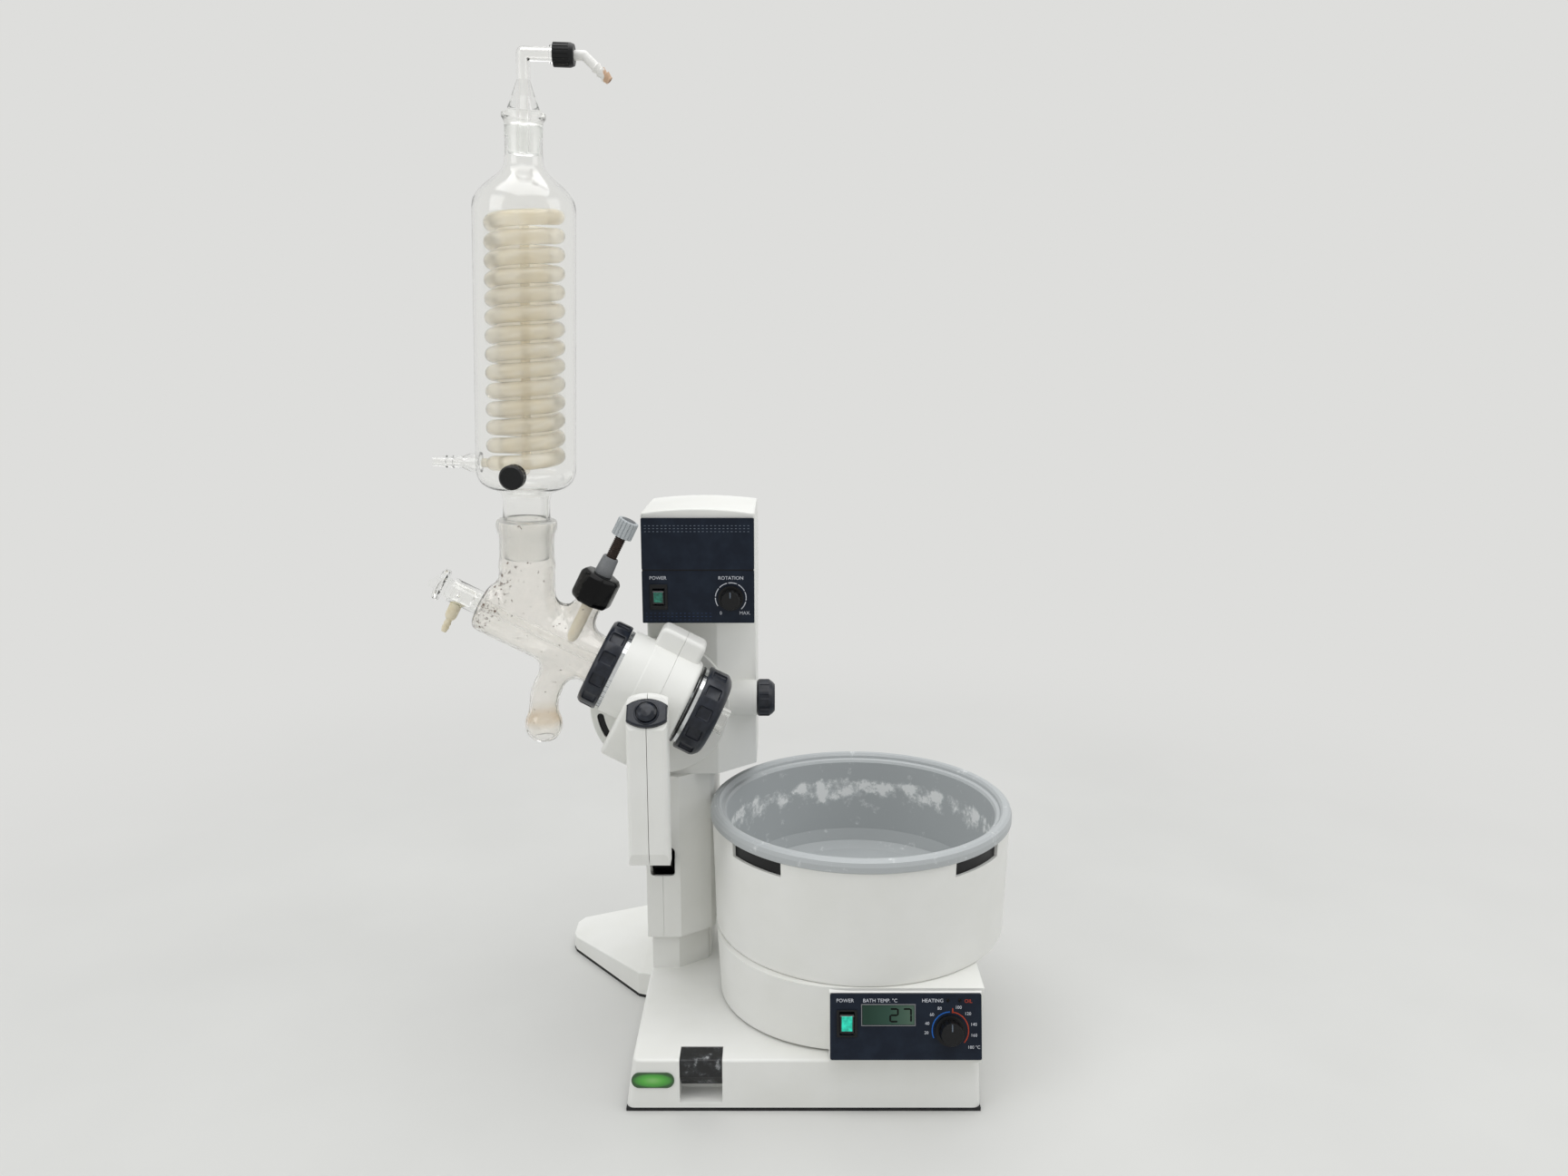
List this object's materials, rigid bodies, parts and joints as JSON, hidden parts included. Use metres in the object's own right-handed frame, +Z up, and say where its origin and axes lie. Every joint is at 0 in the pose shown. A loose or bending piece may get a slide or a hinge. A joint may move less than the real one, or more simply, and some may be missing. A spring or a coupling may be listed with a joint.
{
  "type": "rotary evaporator",
  "caption": "Laboratory rotary evaporator: tilting drive head on a lifting tower, vertical glass condenser with coil, and a round heated water bath on the base.",
  "frame": {"origin": "on the bench plane below the tower's axis", "axes": "+Z up, +X towards the heating bath, -Y towards the operator"},
  "size_m": [0.5283, 0.3749, 0.895],
  "materials": {
    "white_paint": "semi-gloss off-white paint",
    "white_housing": "fine-textured off-white",
    "navy_plastic": "satin dark blue",
    "black_plastic": "satin black",
    "pan_coating": "grey non-stick coating",
    "grey_paint": "light grey paint",
    "steel": "machined",
    "chrome": "polished",
    "aluminium": "anodised",
    "rubber": "matt black",
    "clear_glass": "clear borosilicate",
    "coil_glass": "cream-stained coil",
    "ptfe": "white fluoropolymer",
    "grey_plastic": "light grey",
    "brown_plastic": "dark brown",
    "green_lens": "lit green",
    "display": "liquid-crystal window",
    "circuit": "circuit board"
  },
  "bodies": {
    "base": {"base_casting": "white_paint", "base_edging": "rubber", "column_skirt": "white_paint", "guide_profile": "aluminium", "gas_cylinder": "steel"},
    "bath_lock": {"bath_lock": "black_plastic"},
    "bath": {"bath_lower": "white_housing", "bath_shell": "white_paint", "bath_grips": "black_plastic", "bath_pan": "pan_coating", "bath_heater": "steel", "bath_board": "circuit", "bath_panel": "navy_plastic", "bath_display": "display"},
    "bath_switch": {"bath_switch": "green_lens"},
    "bath_knob": {"bath_knob": "black_plastic"},
    "tower": {"lower_cover_left": "white_housing", "lower_cover_right": "white_housing", "guide_bushes": "black_plastic", "upper_housing": "white_housing", "upper_panel": "navy_plastic", "control_panel": "navy_plastic", "control_board": "circuit", "power_supply": "steel", "gas_rod": "steel"},
    "power_switch": {"power_switch": "green_lens"},
    "speed_knob": {"speed_knob": "black_plastic"},
    "tilt_clamp": {"clamp_knob": "navy_plastic", "clamp_screw": "steel"},
    "lever": {"lever_grip": "white_housing", "lever_cap": "navy_plastic", "lever_arm": "black_plastic"},
    "thumb_button": {"thumb_button": "navy_plastic"},
    "head": {"drive_cover_left": "white_housing", "drive_cover_right": "white_housing", "tilt_flange": "grey_paint", "drive_motor": "steel", "drive_belt": "rubber", "shaft_bearings": "steel", "thread_ring": "chrome", "shaft_seal": "ptfe", "glass_manifold": "clear_glass", "feed_tube": "clear_glass", "condenser_jacket": "clear_glass", "cooling_coil": "coil_glass", "condenser_cap": "black_plastic", "vacuum_elbow": "clear_glass", "vacuum_cap": "black_plastic", "hose_barb": "ptfe", "valve_nut": "black_plastic", "valve_collar": "grey_plastic"},
    "union_nut": {"condenser_nut": "navy_plastic"},
    "rotor": {"hollow_shaft": "steel", "nut_ring": "chrome", "flask_nut": "navy_plastic", "vapour_duct": "clear_glass"},
    "motor_pulley": {"motor_pulley": "aluminium"},
    "stem_valve": {"valve_spindle": "brown_plastic", "valve_knob": "grey_plastic"},
    "stopcock": {"stopcock_plug": "clear_glass"}
  },
  "joints": [
    {"name": "tower_lift", "type": "slide", "parent": "base", "child": "tower", "axis": [0, 0, 1], "range_m": [-0.018, 0.09]},
    {"name": "bath_shift", "type": "slide", "parent": "base", "child": "bath", "axis": [1, 0, 0], "range_m": [0, 0.03]},
    {"name": "bath_lock_press", "type": "slide", "parent": "base", "child": "bath_lock", "axis": [0, 0, -1], "range_m": [0, 0.006], "stiffness_N_per_m": 500, "springref_m": -0.002},
    {"name": "lever_pull", "type": "hinge", "parent": "tower", "child": "lever", "pos_m": [-0.0395, -0.038, 0.15], "axis": [1, 0, 0], "range_deg": [0, 12]},
    {"name": "thumb_button_press", "type": "slide", "parent": "lever", "child": "thumb_button", "axis": [0, 0.788, -0.6157], "range_m": [0, 0.002], "stiffness_N_per_m": 300, "springref_m": -0.001},
    {"name": "head_tilt", "type": "hinge", "parent": "tower", "child": "head", "pos_m": [-0.0395, -0.056, 0.318], "axis": [0, 1, 0], "range_deg": [-8, 8]},
    {"name": "tilt_clamp_turn", "type": "hinge", "parent": "tower", "child": "tilt_clamp", "pos_m": [0.052, -0.038, 0.32], "axis": [1, 0, 0], "range_deg": [-180, 180]},
    {"name": "flask_spin", "type": "hinge", "parent": "head", "child": "rotor", "pos_m": [-0.0395, -0.105, 0.349], "axis": [0.891, 0, -0.454], "continuous": true},
    {"name": "motor_spin", "type": "hinge", "parent": "head", "child": "motor_pulley", "pos_m": [-0.05766, -0.105, 0.31336], "axis": [0.891, 0, -0.454], "continuous": true},
    {"name": "union_nut_turn", "type": "hinge", "parent": "head", "child": "union_nut", "pos_m": [-0.09162, -0.105, 0.37556], "axis": [0.891, 0, -0.454], "range_deg": [-180, 180]},
    {"name": "stem_valve_turn", "type": "hinge", "parent": "head", "child": "stem_valve", "pos_m": [-0.08889, -0.105, 0.4415], "axis": [0.454, 0, 0.891], "range_deg": [0, 360]},
    {"name": "stopcock_turn", "type": "hinge", "parent": "head", "child": "stopcock", "pos_m": [-0.2177, -0.105, 0.4398], "axis": [0.891, 0, -0.454], "range_deg": [-90, 90]},
    {"name": "speed_knob_turn", "type": "hinge", "parent": "tower", "child": "speed_knob", "pos_m": [0.0296, -0.083, 0.4274], "axis": [0, 1, 0], "range_deg": [0, 270]},
    {"name": "power_switch_rock", "type": "hinge", "parent": "tower", "child": "power_switch", "pos_m": [-0.0363, -0.0796, 0.428], "axis": [1, 0, 0], "range_deg": [-16, 0]},
    {"name": "bath_switch_rock", "type": "hinge", "parent": "bath", "child": "bath_switch", "pos_m": [0.13181, -0.21377, 0.08269], "axis": [1, 0, 0], "range_deg": [-16, 0]},
    {"name": "bath_knob_turn", "type": "hinge", "parent": "bath", "child": "bath_knob", "pos_m": [0.22032, -0.21971, 0.07801], "axis": [0, 0.9691, -0.2467], "range_deg": [0, 270]}
  ],
  "couplings": [
    {"joint": "motor_spin", "follows": "flask_spin", "ratio": 3.375}
  ]
}
